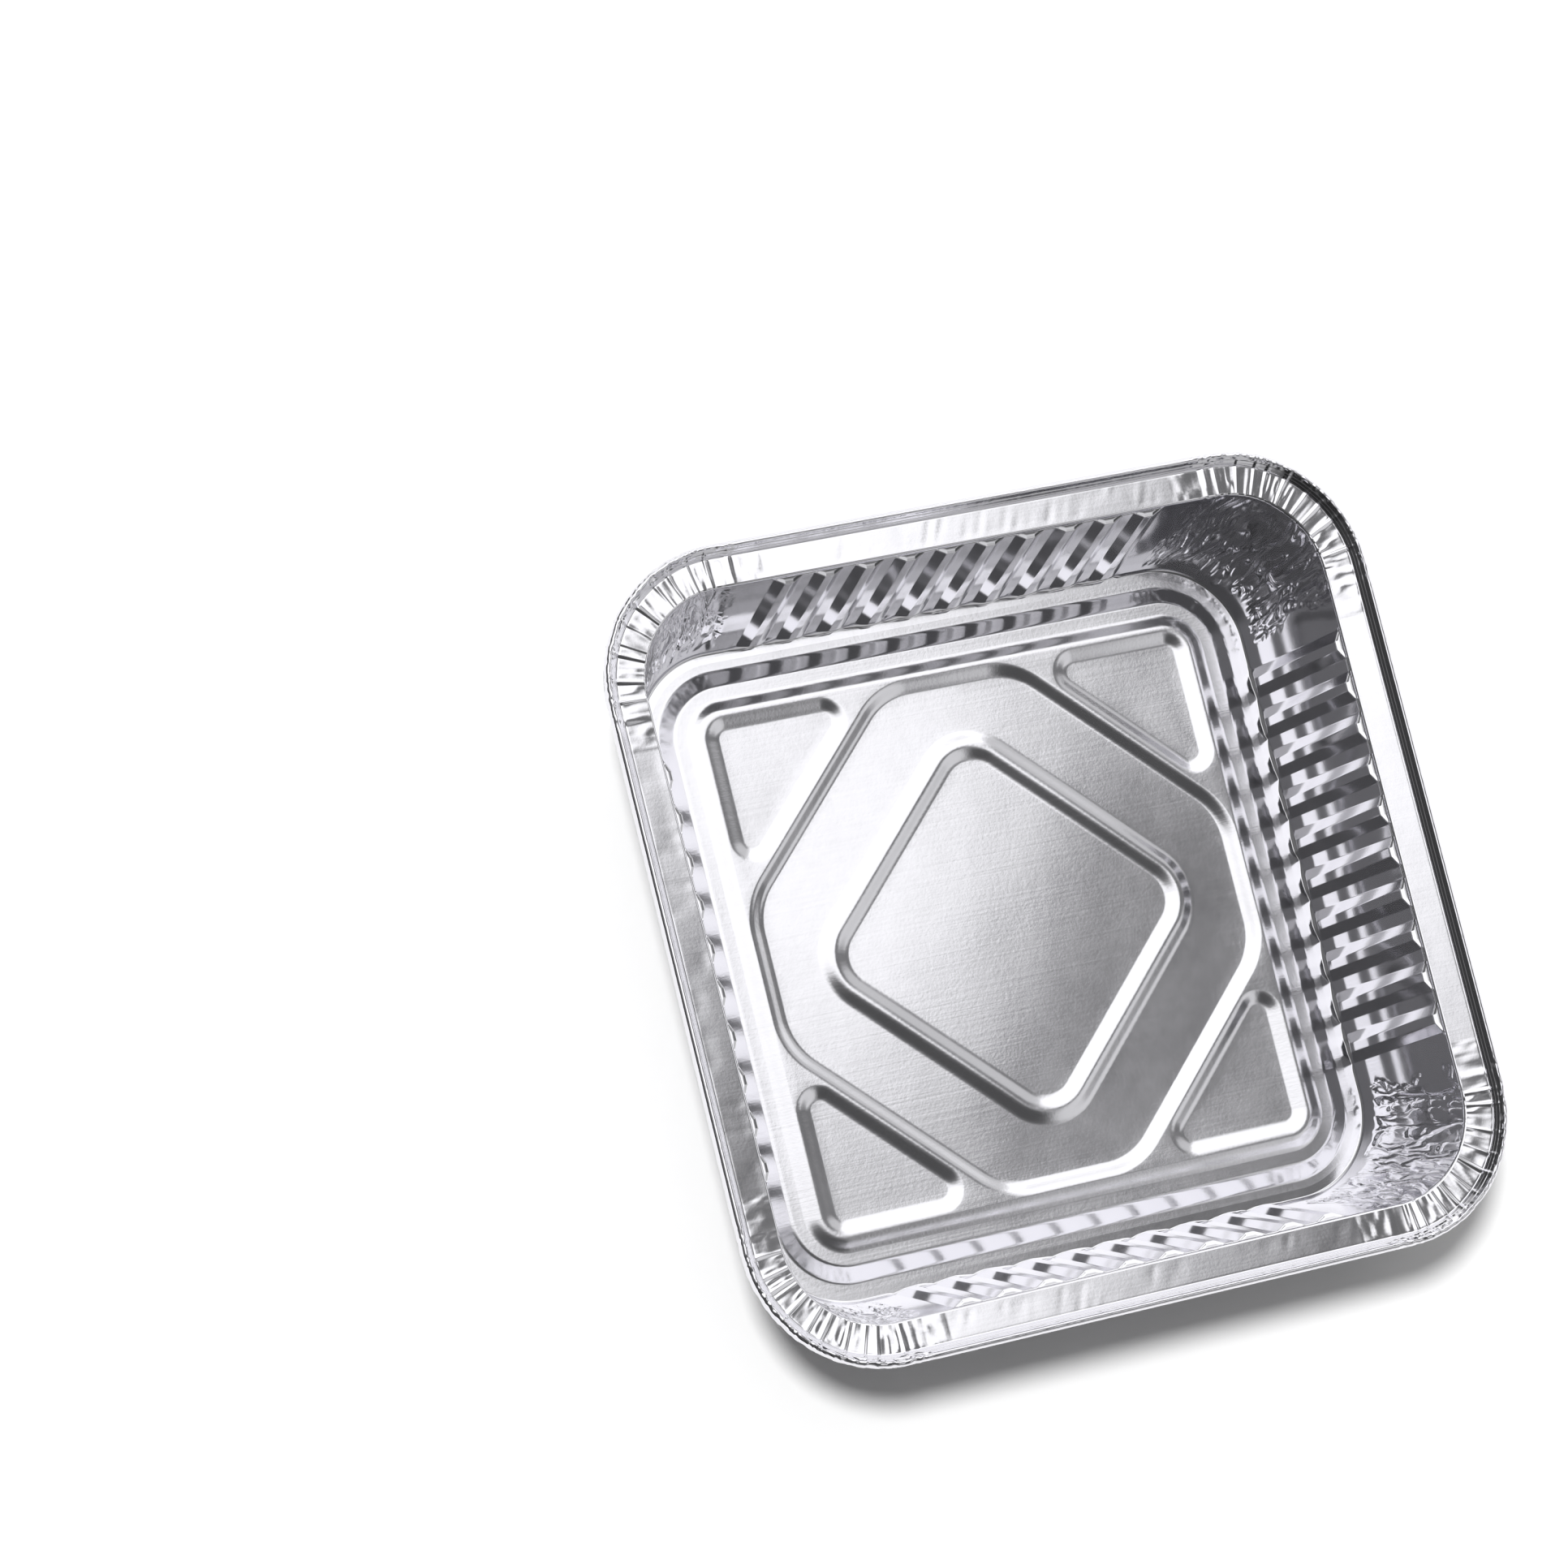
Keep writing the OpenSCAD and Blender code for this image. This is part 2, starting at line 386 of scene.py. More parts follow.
def gathers(u, climb, turn):
    """Long wavy creases that run up the wall where the sheet is gathered round a corner."""
    shift = 40.0 * turn
    bent = u + 1.5 * warp_wide(u / 9 + shift, climb / 13) + 0.6 * warp_fine(u / 3 + shift, climb / 5)
    up = climb + 2.5 * warp_wide(u / 5 + shift, climb / 9 + 50)
    lift = wide_fold * folds_wide(bent / 2.6 + shift, up / 16)
    lift = lift + fine_fold * folds_fine(bent / 0.9 + shift, up / 5)
    lift = lift - long_crease * thin_crease(knobble, bent / 3.0 + shift, up / 18)
    lift = lift - short_crease * thin_crease(crease, bent / 1.8 + shift, up / 9)
    return lift + cross_fold * folds_across(bent / 3 + shift, up / 4)


def gather_reach(u, climb, turn, length):
    """Where the gathers show: full in the corner, fading to smooth wall at its ends and above the foot."""
    ragged = 2.4 * patches(climb / 5 + 9 * turn, 3.0) + 1.0 * crease(climb / 1.6, 7.0 + turn)
    start = fade(5.5, 8.0, u + ragged)
    end = fade(5.5, 8.0, length - u + ragged)
    foot = fade(4.5, 8.0, climb + 3.0 * patches(u / 4 + 20 * turn, 8.0) + 1.0 * crease(u / 1.4, 9.0 + turn))
    return start * end * foot * (0.75 + 0.35 * patches(u / 8 + 30 * turn, climb / 9))


# Meshes


def join_sheets(name, sheets):
    """One mesh of thin closed sheets, each (upper grid, lower grid, closes round)."""
    points, normals, faces, caps = [], [], [], []
    first = 0
    for upper, lower, closes in sheets:
        rows, columns = upper.shape[:2]
        index = np.arange(rows * columns).reshape(rows, columns)
        if closes:
            index = np.hstack([index, index[:, :1]])
        above = index + first
        below = above + rows * columns
        points += [upper.reshape(-1, 3), lower.reshape(-1, 3)]
        normals += [grid_normals(upper, closes).reshape(-1, 3), -grid_normals(lower, closes).reshape(-1, 3)]
        first += 2 * rows * columns
        faces.append(quads(above[:-1, :-1], above[:-1, 1:], above[1:, 1:], above[1:, :-1]))
        faces.append(quads(below[:-1, :-1], below[1:, :-1], below[1:, 1:], below[:-1, 1:]))
        caps.append(quads(above[0, 1:], above[0, :-1], below[0, :-1], below[0, 1:]))
        caps.append(quads(above[-1, :-1], above[-1, 1:], below[-1, 1:], below[-1, :-1]))
        if not closes:
            caps.append(quads(above[:-1, 0], above[1:, 0], below[1:, 0], below[:-1, 0]))
            caps.append(quads(above[1:, -1], above[:-1, -1], below[:-1, -1], below[1:, -1]))
    piece = make_mesh(name, np.vstack(points), np.vstack(faces), np.vstack(caps))
    piece.data.normals_split_custom_set_from_vertices(np.vstack(normals))
    return piece


def grid_normals(grid, closes):
    """Unit normals of a grid of points, from the places of each point's neighbours."""
    if closes:
        around = np.roll(grid, -1, axis=1) - np.roll(grid, 1, axis=1)
    else:
        around = np.gradient(grid, axis=1)
    normal = np.cross(around, np.gradient(grid, axis=0))
    return normal / np.linalg.norm(normal, axis=2, keepdims=True)


def quads(a, b, c, d):
    return np.stack([a.ravel(), b.ravel(), c.ravel(), d.ravel()], axis=1)


def make_mesh(name, points, smooth_faces, flat_faces):
    """A mesh from points in millimetres and faces that all have the same number of corners."""
    mesh = bpy.data.meshes.new(name)
    corners = smooth_faces.shape[1]
    faces = np.vstack([smooth_faces, flat_faces])
    mesh.vertices.add(len(points))
    mesh.vertices.foreach_set("co", (points * MM).astype(np.float32).ravel())
    mesh.loops.add(faces.size)
    mesh.loops.foreach_set("vertex_index", faces.astype(np.int32).ravel())
    mesh.polygons.add(len(faces))
    mesh.polygons.foreach_set("loop_start", np.arange(0, faces.size, corners, dtype=np.int32))
    mesh.polygons.foreach_set("use_smooth", np.arange(len(faces)) < len(smooth_faces))
    mesh.update(calc_edges=True)
    mesh.validate()
    piece = bpy.data.objects.new(name, mesh)
    bpy.context.scene.collection.objects.link(piece)
    return piece


# Walls


def side_climbs():
    """Heights of the rows up a side: close together where the flutes end."""
    front_foot = flute_start + flute_foot_run
    foot = np.linspace(1.4, front_foot - 0.4, 6)
    front_bend = front_foot + np.array([-0.2, 0, 0.2, 0.6])
    top_start = wall_length - flute_top_gap - flute_top_run
    middle = np.linspace(front_foot + 1.5, top_start - 1, 19)
    top = np.linspace(top_start - 0.4, wall_length - 0.7, 13)
    return np.concatenate([foot, front_bend, middle, top])


def corner_climbs():
    return np.linspace(1.4, wall_length - 0.6, 98)


def side_sheet(turn):
    """One fluted side, as grids of its inside and its outside."""
    along = flute_columns()
    half, z, out, up, climb, spread_half, spread_z = wall_section(side_climbs()).arrays()
    inner = clear_of_ends(along)
    swell = corner_foot_swell + (foot_swell(along) - corner_foot_swell) * inner
    x, y, out_x, out_y = side_plan(half + spread_half * swell + foot_line(along, climb, turn), along)
    z = z + spread_z * swell - side_dip(turn) * fade(wall_length - dip_reach, wall_length, climb)
    uneven = wall_unevenness * ripple(along / 9 + 30 * turn, climb / 14) * inner
    uneven = uneven * fade(0.5, 4, climb) * fade(0.5, 4, wall_length - climb)
    lift = flute_lift(along + 0 * climb, climb + 0 * along) + uneven
    upper = placed(x, y, z, out_x, out_y, out, up, lift)
    lower = placed(x, y, z, out_x, out_y, out, up, lift - sheet)
    return turned(upper, turn), turned(lower, turn), False


def corner_sheet(turn):
    """One gathered corner, as grids of its inside and its outside."""
    half, z, out, up, climb, spread_half, spread_z = wall_section(corner_climbs()).arrays()
    half, z = half + spread_half * corner_foot_swell, z + spread_z * corner_foot_swell
    x, y, out_x, out_y = corner_plan(half, z)
    u = corner_length()
    length = u[-1]
    z = z - side_dip(turn, u / length) * fade(wall_length - dip_reach, wall_length, climb)
    u = u + 0 * climb
    v = climb + 0 * u
    lift = gathers(u, v, turn) * gather_reach(u, v, turn, length)
    lift = lift * (1 - 0.7 * fade(wall_length - 2.0, wall_length + 0.2, v))
    upper = placed(x, y, z, out_x, out_y, out, up, lift)
    lower = placed(x, y, z, out_x, out_y, out, up, lift - sheet)
    return turned(upper, turn), turned(lower, turn), False


side_names = ("right", "far", "left", "near")
corner_names = ("far_right", "far_left", "near_left", "near_right")


def make_walls():
    return [join_sheets("fluted_wall_" + name, [side_sheet(turn)]) for turn, name in enumerate(side_names)]


def make_corners():
    return [join_sheets("gathered_corner_" + name, [corner_sheet(turn)])
            for turn, name in enumerate(corner_names)]


# Rim


def rim_path():
    """Middle line of the flange, the rise and the rolled edge, as (half width, height)."""
    start = wall_half + top_tangent
    flange_end = wall_half + flange_width
    flange = [(start + (flange_end - start) * s, flange_z + flange_lift * s)
              for s in (0, 0.1, 0.22, 0.36, 0.5, 0.64, 0.78, 0.9, 0.97)]
    rise = [(flange_end + run, flange_z + climb) for run, climb in rise_slant]
    middle = rim_half - roll_width / 2, height - roll_height / 2
    reach = (roll_width - sheet) / 2, (roll_height - sheet) / 2
    curl = []
    for degrees in range(100, -141, -24):
        a = math.radians(degrees)
        cos, sin = math.cos(a), math.sin(a)
        flat = (abs(cos) ** roll_squareness + abs(sin) ** roll_squareness) ** (-1 / roll_squareness)
        curl.append((middle[0] + reach[0] * cos * flat, middle[1] + reach[1] * sin * flat))
    return np.array(flange + rise + curl)


def path_normals(path):
    """Unit normals on the upper side of a line drawn outwards."""
    along = np.gradient(path, axis=0)
    normal = np.stack([-along[:, 1], along[:, 0]], axis=1)
    return normal / np.linalg.norm(normal, axis=1)[:, None]


def pleat_lift(u, turn, length):
    """Pressed pleats of a flange corner: flat panels that step down at sharp creases."""
    rng = np.random.default_rng(60 + turn)
    shares = (np.arange(pleat_count) + rng.uniform(-0.3, 0.3, pleat_count)) / (pleat_count - 1)
    places = pleat_ends + (length - 2 * pleat_ends) * shares
    lifts = rng.uniform(*pleat_steps, pleat_count)
    knots, values = [0.0], [0.0]
    for place, size in zip(places, lifts):
        knots += [place - 0.7, place, place + 0.32]
        values += [0.1 * size, size, -0.25 * size]
    return np.interp(u, knots + [length], values + [0.0])


def rim_sheet():
    """The whole rim, as grids of its upper and under side."""
    path = rim_path()
    normal = path_normals(path)
    half, z = path[:, :1], path[:, 1:]
    out, up = normal[:, :1], normal[:, 1:]
    start = path[0, 0]
    across = half - start
    flange = 1 - fade(flange_width - 1.4, flange_width, across)
    roll = fade(flange_width + 0.4, flange_width + 1.6, across) + 0 * half
    roll[np.argmax(half):] = 1
    around = np.concatenate([[0], np.cumsum(np.linalg.norm(np.diff(path, axis=0), axis=1))])[:, None]
    along = np.linspace(-side_end, side_end, rim_side_cells + 1)
    u = corner_length()
    length = u[-1]
    hang = np.clip(1 - across / flange_width, 0, 1)
    tops, unders = [], []
    for turn in range(4):
        x, y, out_x, out_y = side_plan(half, along[:-1])
        a = along[:-1] + 200 * turn
        crest = 0.5 + 0.5 * wrinkle(a / 2.0 + 0.2 * across, across / 12 + 5 * turn)
        few = fade(-0.5, 0.4, patches(a / 9, across / 9))
        crinkle = roll_crinkle * wrinkle.ridges(a / 1.3, around / 3.5) * roll
        lift = -side_wrinkles[turn] * crest * few * flange * fade(0.2, 1.5, across) - np.abs(crinkle)
        level = z - side_dip(turn) * hang
        tops.append(turned(placed(x, y, level, out_x, out_y, out, up, lift + sheet / 2), turn))
        unders.append(turned(placed(x, y, level, out_x, out_y, out, up, lift - sheet / 2), turn))
        x, y, out_x, out_y = corner_plan(half, z + 2)
        x, y, out_x, out_y = x[:, :-1], y[:, :-1], out_x[:, :-1], out_y[:, :-1]
        c = u[:-1]
        level = z - side_dip(turn, c / length) * hang
        reach = fade(3.5, 7.5, c) * fade(3.5, 7.5, length - c)
        grow = 0.45 + 0.55 * fade(0, flange_width, across)
        pleats = pleat_lift(c, turn, length) * grow * reach
        fine = 0.05 * wrinkle.ridges(c / 1.2 + 77 * turn, across / 5) * flange
        knobs = corner_crinkles[0] * crease.ridges(c / 1.7 + 50 * turn, around / 2.6)
        knobs = knobs + corner_crinkles[1] * knobble(c / 0.9, around / 1.2 + 9 * turn)
        dents = np.abs(knobs) + 0.25 * np.abs(pleats)
        lift = pleats * (1 - 0.6 * roll) + fine - dents * roll * reach
        lift = np.where(roll > 0.5, np.minimum(lift, 0), lift)
        tops.append(turned(placed(x, y, level, out_x, out_y, out, up, lift + sheet / 2), turn))
        unders.append(turned(placed(x, y, level, out_x, out_y, out, up, lift - sheet / 2), turn))
    return np.concatenate(tops, axis=1), np.concatenate(unders, axis=1), True


def make_rim():
    return join_sheets("rolled_rim", [rim_sheet()])


# Floor


def polygon_distance(x, y, corners):
    """Signed distance to a convex polygon, less than 0 inside."""
    best = np.full(np.shape(x), 1e9)
    inside = np.full(np.shape(x), -1e9)
    count = len(corners)
    for i in range(count):
        ax, ay = corners[i]
        bx, by = corners[(i + 1) % count]
        ex, ey = bx - ax, by - ay
        size = math.hypot(ex, ey)
        px, py = x - ax, y - ay
        share = np.clip((px * ex + py * ey) / size ** 2, 0, 1)
        best = np.minimum(best, np.hypot(px - share * ex, py - share * ey))
        inside = np.maximum(inside, (px * ey - py * ex) / size)
    return np.where(inside > 0, best, inside)


class RoundedShape:
    """A convex outline with rounded corners, and the lines that run inside it at a distance."""

    def __init__(self, corners, radius, arc_steps):
        self.radius = radius
        self.arc_steps = arc_steps
        self.inner = inset(corners, radius)

    def depth(self, x, y):
        """How far a point is inside the outline."""
        return self.radius - polygon_distance(x, y, self.inner)

    def line(self, depth, spacing):
        """Points of the line at a depth inside the outline."""
        radius = self.radius - depth
        points = []
        count = len(self.inner)
        for i, (x, y) in enumerate(self.inner):
            before, after = self.inner[i - 1], self.inner[(i + 1) % count]
            start = math.atan2(y - before[1], x - before[0]) - math.pi / 2
            turn = (math.atan2(after[1] - y, after[0] - x) - math.pi / 2 - start) % (2 * math.pi)
            angles = [start + turn * k / self.arc_steps for k in range(self.arc_steps + 1)]
            arc = [(x + radius * math.cos(angle), y + radius * math.sin(angle)) for angle in angles]
            run = math.hypot(after[0] - x, after[1] - y)
            cells = max(1, round(run / spacing))
            ux, uy = (after[0] - x) / run, (after[1] - y) / run
            end_x, end_y = arc[-1]
            steps = [run * k / cells for k in range(1, cells)]
            points += arc + [(end_x + ux * step, end_y + uy * step) for step in steps]
        return points


def inset(corners, distance):
    """Corners of a convex polygon, drawn anticlockwise, moved inwards by a distance."""
    moved = []
    count = len(corners)
    for i in range(count):
        p, q, r = corners[i - 1], corners[i], corners[(i + 1) % count]
        u = Vector((q[0] - p[0], q[1] - p[1])).normalized()
        v = Vector((r[0] - q[0], r[1] - q[1])).normalized()
        half_turn = math.atan2(u.x * v.y - u.y * v.x, u.dot(v)) / 2
        side = distance * math.tan(half_turn)
        moved.append((q[0] - u.x * side - u.y * distance, q[1] - u.y * side + u.x * distance))
    return moved


def square(half):
    return [(half, -half), (half, half), (-half, half), (-half, -half)]


def eight_sided(half, diagonal):
    near = diagonal * math.sqrt(2) - half
    return [(half, -near), (half, near), (near, half), (-near, half),
            (-half, near), (-half, -near), (-near, -half), (near, -half)]


def diamond(half):
    reach = half * math.sqrt(2)
    return [(reach, 0), (0, reach), (-reach, 0), (0, -reach)]


def corner_triangle(half, diagonal, turn):
    near = diagonal * math.sqrt(2) - half
    cos, sin = ((1, 0), (0, 1), (-1, 0), (0, -1))[turn]
    points = [(half, near), (half, half), (near, half)]
    return [(x * cos - y * sin, x * sin + y * cos) for x, y in points]


step_shape = RoundedShape(square(step_outer), foot_radius - (floor_half - step_outer), 40)
border_shape = RoundedShape(square(border_outer), 11.0, 24)
panel_shape = RoundedShape(eight_sided(panel_half, panel_diagonal), panel_radius, 18)
ridge_shape = RoundedShape(diamond(ridge_half), ridge_radius, 24)
triangle_shapes = [RoundedShape(corner_triangle(triangle_half, triangle_diagonal, turn), triangle_radius, 16)
                   for turn in range(4)]


def pressed(depth, run, bend):
    """Share of a pressed slope that is climbed at a depth, with a rounded bend at each end."""
    t = depth / run
    low = -soft_least(-t, np.zeros_like(t), bend)
    return soft_least(low, np.ones_like(t), bend)


def floor_height(x, y):
    """Height of the floor's upper surface."""
    bend = 0.3
    z = sheet + step_height * pressed(step_shape.depth(x, y), step_run, 0.14)
    z = z + border_height * pressed(border_shape.depth(x, y), slope_run, bend)
    z = z - panel_depth * pressed(panel_shape.depth(x, y), slope_run, bend)
    inside = ridge_shape.depth(x, y)
    z = z + ridge_height * pressed(inside, slope_run, bend)
    z = z - ridge_height * pressed(inside - slope_run - ridge_top, slope_run, bend)
    for shape in triangle_shapes:
        z = z - border_height * pressed(shape.depth(x, y), slope_run, bend)
    middle = np.hypot(x, y) / frame_half
    z = z + floor_rise * np.clip(1 - middle ** 2, 0, 1) ** 1.5
    broad, middling, fine = floor_unevenness
    uneven = broad * ripple(x / 26, y / 26 + 3) + middling * ripple(x / 11 + 9, y / 11)
    uneven = uneven + fine * ripple(x / 4, y / 4 + 60)
    return z + uneven * fade(0, 8, step_shape.depth(x, y) - step_run)


def slope_lines(shape, start, run, spacing):
    """Lines that follow a slope, from just outside it to just inside."""
    shares = (-0.28, -0.14, 0.0, 0.14, 0.28, 0.43, 0.57, 0.72, 0.86, 1.0, 1.14, 1.28)
    return [shape.line(start + run * share, spacing) for share in shares]


def floor_lines(edge):
    """Every line that the floor's mesh keeps, from its edge inwards."""
    lines = [edge]
    lines += slope_lines(step_shape, 0, step_run, 2.4)
    lines += slope_lines(border_shape, 0, slope_run, 3)
    lines += slope_lines(panel_shape, 0, slope_run, 3)
    lines += slope_lines(ridge_shape, 0, slope_run, 3)[:-2]
    lines += slope_lines(ridge_shape, slope_run + ridge_top, slope_run, 3)[2:]
    for shape in triangle_shapes:
        lines += slope_lines(shape, 0, slope_run, 3)
    return lines


def floor_fill():
    """Points of the flat places, clear of every line."""
    spacing = 2.6
    places = np.arange(-frame_half + 1, frame_half - 1, spacing)
    x, y = np.meshgrid(places, places)
    jitter = np.random.default_rng(5).uniform(-0.5, 0.5, (2,) + x.shape)
    x, y = x + jitter[0], y + jitter[1]
    free = np.ones(x.shape, dtype=bool)
    for shape, start, run in [(panel_shape, 0, slope_run), (ridge_shape, 0, 2 * slope_run + ridge_top),
                              (border_shape, 0, slope_run)] + [(s, 0, slope_run) for s in triangle_shapes]:
        depth = shape.depth(x, y) - start
        free &= (depth < -1.7) | (depth > run + 1.7)
    free &= border_shape.depth(x, y) > slope_run
    return list(zip(x[free], y[free]))


def floor_sheet(edge):
    """Points and triangles of the floor, within its edge."""
    points, edges = [], []
    for line in floor_lines(edge):
        first = len(points)
        points += [Vector((float(x), float(y))) for x, y in line]
        edges += [(first + i, first + (i + 1) % len(line)) for i in range(len(line))]
    points += [Vector((float(x), float(y))) for x, y in floor_fill()]
    found = delaunay_2d_cdt(points, edges, [], 0, 1e-5)
    plan = np.array([tuple(p) for p in found[0]])
    triangles = np.array(found[2])
    middle = plan[triangles].mean(axis=1)
    limit = np.array(edge)
    inside = in_outline(middle, limit)
    return plan, triangles[inside]


def in_outline(points, outline):
    """Which points lie in a closed outline."""
    inside = np.zeros(len(points), dtype=bool)
    x, y = points[:, 0], points[:, 1]
    for (ax, ay), (bx, by) in zip(outline, np.roll(outline, -1, axis=0)):
        crosses = (ay > y) != (by > y)
        if ay != by:
            inside ^= crosses & (x < ax + (y - ay) * (bx - ax) / (by - ay))
    return inside


def slope_normals(plan):
    """Upward unit normals of the floor's surface."""
    x, y = plan[:, 0], plan[:, 1]
    reach = 0.12
    dx = (floor_height(x + reach, y) - floor_height(x - reach, y)) / (2 * reach)
    dy = (floor_height(x, y + reach) - floor_height(x, y - reach)) / (2 * reach)
    normal = np.stack([-dx, -dy, np.ones_like(dx)], axis=1)
    return normal / np.linalg.norm(normal, axis=1)[:, None]


def make_floor():
    """The embossed floor, as a thin closed sheet that meets the walls' first row."""
    section = wall_section([2.0]).arrays()
    half, z = section[0][:1], section[1][:1]
    along = flute_columns()
    edge = []
    for turn in range(4):
        x, y, _, _ = side_plan(half, along[:-1])
        edge.append(turned(np.stack([x, y, 0 * x], axis=-1), turn)[0, :, :2])
        x, y, _, _ = corner_plan(half, z)
        edge.append(turned(np.stack([x, y, 0 * x], axis=-1), turn)[0, :-1, :2])
    edge = np.vstack(edge)
    plan, triangles = floor_sheet(edge)
    x, y = plan[:, 0], plan[:, 1]
    z = floor_height(x, y)
    count = len(plan)
    upper = np.stack([x, y, z], axis=1)
    lower = np.stack([x, y, z - sheet], axis=1)
    first, second, third = (plan[triangles[:, k]] for k in range(3))
    cross = np.cross(second - first, third - first)
    triangles = np.where(cross[:, None] > 0, triangles, triangles[:, ::-1])
    skirt = border_edges(triangles)
    a, b = skirt[:, 0], skirt[:, 1]
    sides = np.vstack([np.stack([b, a, a + count], axis=1), np.stack([b, a + count, b + count], axis=1)])
    faces = np.vstack([triangles, triangles[:, ::-1] + count])
    piece = make_mesh("embossed_floor", np.vstack([upper, lower]), faces, sides)
    normals = slope_normals(plan)
    piece.data.normals_split_custom_set_from_vertices(np.vstack([normals, -normals]))
    return piece


def border_edges(triangles):
    """Edges that only one triangle has, in that triangle's direction."""
    edges = np.vstack([triangles[:, [0, 1]], triangles[:, [1, 2]], triangles[:, [2, 0]]])
    key = np.sort(edges, axis=1)
    _, first, count = np.unique(key, axis=0, return_index=True, return_counts=True)
    return edges[first[count == 1]]


# Materials


class Value:
    """A shader socket that takes part in arithmetic."""

    def __init__(self, shader, socket):
        self.shader = shader
        self.socket = socket

    def __add__(self, other):
        return self.shader.maths("ADD", self, other)

    def __sub__(self, other):
        return self.shader.maths("SUBTRACT", self, other)

    def __mul__(self, other):
        return self.shader.maths("MULTIPLY", self, other)

    def __rsub__(self, other):
        return self.shader.maths("SUBTRACT", other, self)

    def __truediv__(self, other):
        return self.shader.maths("DIVIDE", self, other)

    __radd__ = __add__
    __rmul__ = __mul__


class Shader:
    """Nodes of a material or of the world, made one call at a time."""

    def __init__(self, tree):
        self.tree = tree
        tree.nodes.clear()

    def node(self, kind, settings, sockets, output=0):
        """A node of that type: its settings first, then the values or links of its sockets."""
        node = self.tree.nodes.new(kind)
        for name, value in settings.items():
            setattr(node, name, value)
        for name, value in sockets.items():
            if isinstance(value, Value):
                self.tree.links.new(value.socket, node.inputs[name])
            else:
                node.inputs[name].default_value = value
        return Value(self, node.outputs[output]) if node.outputs else node

    def maths(self, operation, a, b):
        return self.node("ShaderNodeMath", {"operation": operation}, {0: a, 1: b})

    def rise(self, value, low, high):
        """0 where the value is below low, 1 above high, smooth between."""
        return self.node("ShaderNodeMapRange", {"interpolation_type": "SMOOTHSTEP"},
                         {"Value": value, "From Min": low, "From Max": high})

    def noise(self, place, scale, detail=2.0, rough=0.5):
        return self.node("ShaderNodeTexNoise", {"noise_dimensions": "3D"},
                         {"Vector": place, "Scale": scale, "Detail": detail, "Roughness": rough})

    def stretched(self, place, x, y, z):
        return self.node("ShaderNodeVectorMath", {"operation": "MULTIPLY"}, {0: place, 1: (x, y, z)})


def new_material(name):
    material = bpy.data.materials.new(name)
    material.use_nodes = True
    return material, Shader(material.node_tree)


def foil(name, roughness, grain):
    """Mill-rolled aluminium foil: satin, with fine mottled grain, rolling lines and soft smudges."""
    material, shader = new_material(name)
    place = shader.node("ShaderNodeTexCoord", {}, {}, output="Object")
    speck = shader.noise(place, 1100.0, 3.0, 0.6)
    mottle = shader.noise(place, 260.0, 3.0, 0.6)
    smudge = shader.noise(place, 38.0, 3.0, 0.55)
    rolled = shader.noise(shader.stretched(place, 6.0, 900.0, 60.0), 1.0, 2.0, 0.6)
    rough = roughness + 0.10 * smudge + 0.05 * mottle - 0.075
    lift = 0.5 * speck + 0.35 * mottle + 0.5 * rolled
    bump = shader.node("ShaderNodeBump", {}, {"Height": lift, "Strength": grain, "Distance": 0.00006})
    greyer, brighter = (0.80, 0.795, 0.835, 1.0), (0.87, 0.865, 0.90, 1.0)
    tone = shader.node("ShaderNodeMix", {"data_type": "RGBA"},
                       {"Factor": smudge, 6: greyer, 7: brighter}, output=2)
    surface = shader.node("ShaderNodeBsdfPrincipled", {},
                          {"Base Color": tone, "Metallic": 1.0, "Roughness": rough, "Normal": bump})
    shader.node("ShaderNodeOutputMaterial", {}, {"Surface": surface})
    return material


# Studio


def card(name, material, middle, width, depth, facing):
    """A flat panel of the studio that faces a point."""
    mesh = bpy.data.meshes.new(name)
    x, y = width / 2, depth / 2
    mesh.from_pydata([(-x, -y, 0), (x, -y, 0), (x, y, 0), (-x, y, 0)], [], [(0, 1, 2, 3)])
    mesh.materials.append(material)
    panel = bpy.data.objects.new(name, mesh)
    bpy.context.scene.collection.objects.link(panel)
    panel.location = middle
    panel.rotation_euler = (Vector(facing) - Vector(middle)).to_track_quat("Z", "Y").to_euler()
    return panel


def make_studio():
    """Pale floor, which shows as white where nothing shades it, and keeps the pan's shadow."""
    material, shader = new_material("floor_white")
    matt = shader.node("ShaderNodeBsdfDiffuse", {}, {"Color": (0.6, 0.6, 0.6, 1.0)})
    shader.node("ShaderNodeOutputMaterial", {}, {"Surface": matt})
    return card("studio_floor", material, (0, 0, 0), 12.0, 12.0, (0, 0, 1))


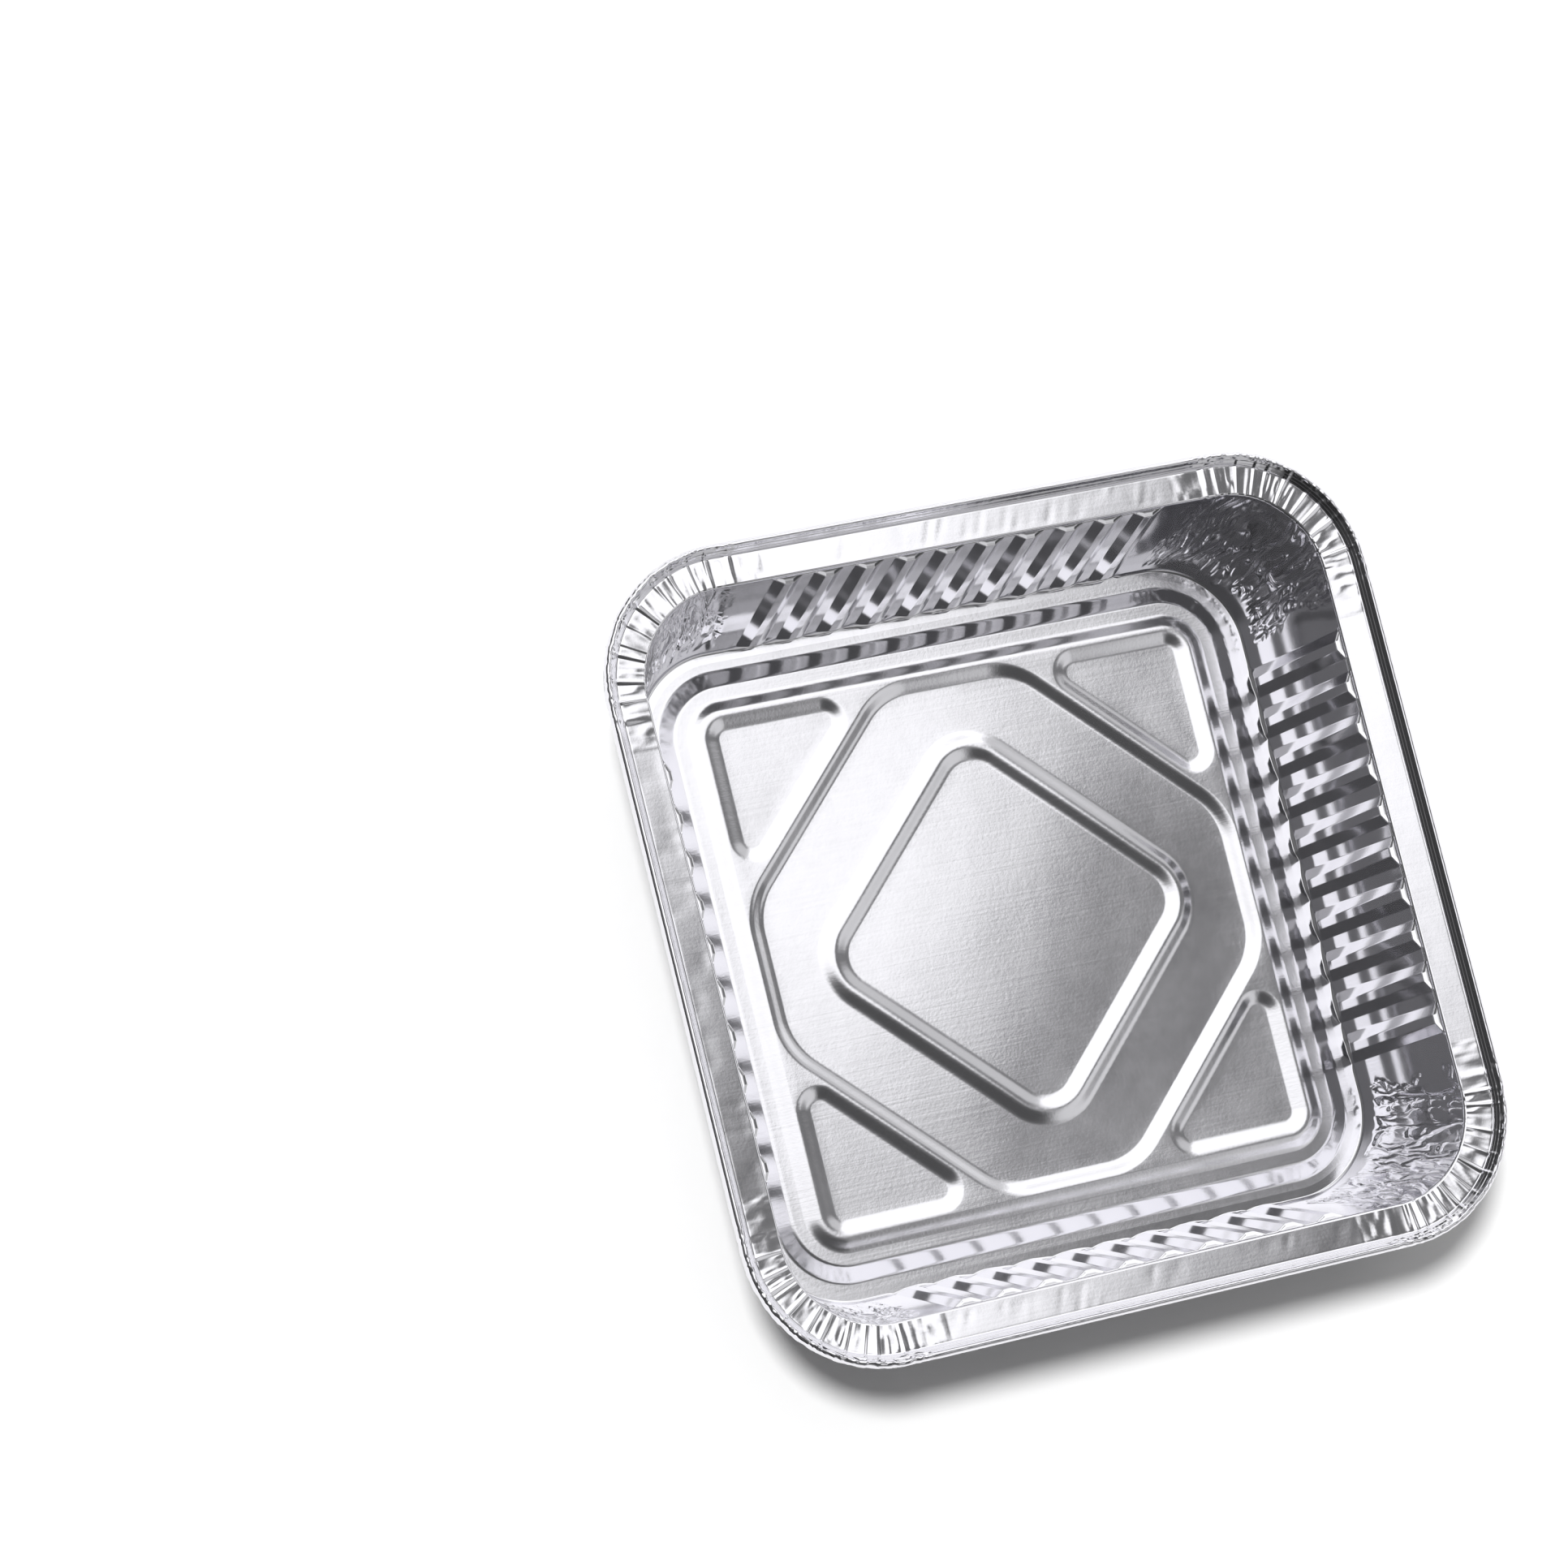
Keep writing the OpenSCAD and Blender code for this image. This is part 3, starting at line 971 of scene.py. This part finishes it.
def make_world():
    """Soft light overhead, dimmer lights round it, and a horizon that is pale on the right only.

    Places overhead are distances across and away for each unit of height.
    """
    world = bpy.data.worlds.new("studio_world")
    bpy.context.scene.world = world
    world.use_nodes = True
    shader = Shader(world.node_tree)
    way = shader.node("ShaderNodeTexCoord", {}, {}, output="Generated")
    axes = shader.node("ShaderNodeSeparateXYZ", {}, {"Vector": way}).socket.node.outputs
    x, y, z = (Value(shader, axes[name]) for name in "XYZ")
    height_above = shader.maths("MAXIMUM", z, 0.02)
    across, away = x / height_above, y / height_above
    rise = shader.rise
    slant = 0.78 * across - 0.5 * away
    overhead = rise(across, -0.50, -0.32) * rise(away, -0.10, 0.08) * (1 - rise(slant, 0.205, 0.29))
    overhead = overhead * (1 - 0.6 * rise(away, 0.8, 1.3))
    upper_left = rise(away, 0.40, 0.60) * (1 - rise(across, -0.50, -0.32)) * rise(across, -0.95, -0.70)
    right = rise(across, 0.50, 0.85) * rise(away, 0.10, 0.40)
    near_right = rise(across, 0.30, 0.50) * (1 - rise(across, 0.9, 1.3))
    near_right = near_right * (1 - rise(away, -0.12, 0.02)) * rise(away, -0.95, -0.7)
    low = 1 - rise(z, 0.38, 0.60)
    horizon = (0.05 + 1.15 * rise(x, -0.45, 0.10)) * (0.45 + 0.55 * rise(y, -0.70, -0.10))
    above = 0.08 + 0.08 * rise(away, -0.3, 0.0) + 1.12 * overhead
    above = above + 0.35 * upper_left + 0.45 * right + 0.65 * near_right
    strength = above * (1 - low) + horizon * low
    sky = shader.node("ShaderNodeBackground", {}, {"Color": (1.0, 1.0, 1.0, 1.0), "Strength": strength})
    shader.node("ShaderNodeOutputWorld", {}, {"Surface": sky})


def make_key_light():
    """A light from high on the left, which gives the pan its shadow. The foil mirrors the world alone."""
    data = bpy.data.lights.new("key_light", "SUN")
    data.energy = 4.5
    data.angle = math.radians(10)
    key = bpy.data.objects.new("key_light", data)
    key.rotation_euler = Vector((0.35, -0.2, -1.0)).to_track_quat("-Z", "Y").to_euler()
    key.visible_glossy = False
    bpy.context.scene.collection.objects.link(key)


def make_camera():
    """The viewpoint: high above the left of the pan, looking down into it."""
    data = bpy.data.cameras.new("camera")
    data.sensor_width = 36.0
    data.lens = 126.466
    data.clip_end = 50.0
    camera = bpy.data.objects.new("camera", data)
    camera.location = Vector((-577.943, -155.694, 1480.840)) * MM
    camera.rotation_euler = Euler([math.radians(a) for a in (12.1371, -17.0443, -14.4001)], "XYZ")
    bpy.context.scene.collection.objects.link(camera)
    bpy.context.scene.camera = camera


def make_pan():
    satin = foil("foil_floor", 0.16, 0.4)
    worked = foil("foil_walls", 0.10, 0.15)
    satin_pieces = [make_floor()]
    worked_pieces = make_walls() + make_corners() + [make_rim()]
    for piece, finish in [(p, satin) for p in satin_pieces] + [(p, worked) for p in worked_pieces]:
        piece.data.materials.append(finish)
        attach(piece, "root")
        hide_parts("pan")


bpy.context.scene.view_settings.view_transform = "Standard"
make_camera()
make_world()
make_key_light()
make_studio()
make_pan()
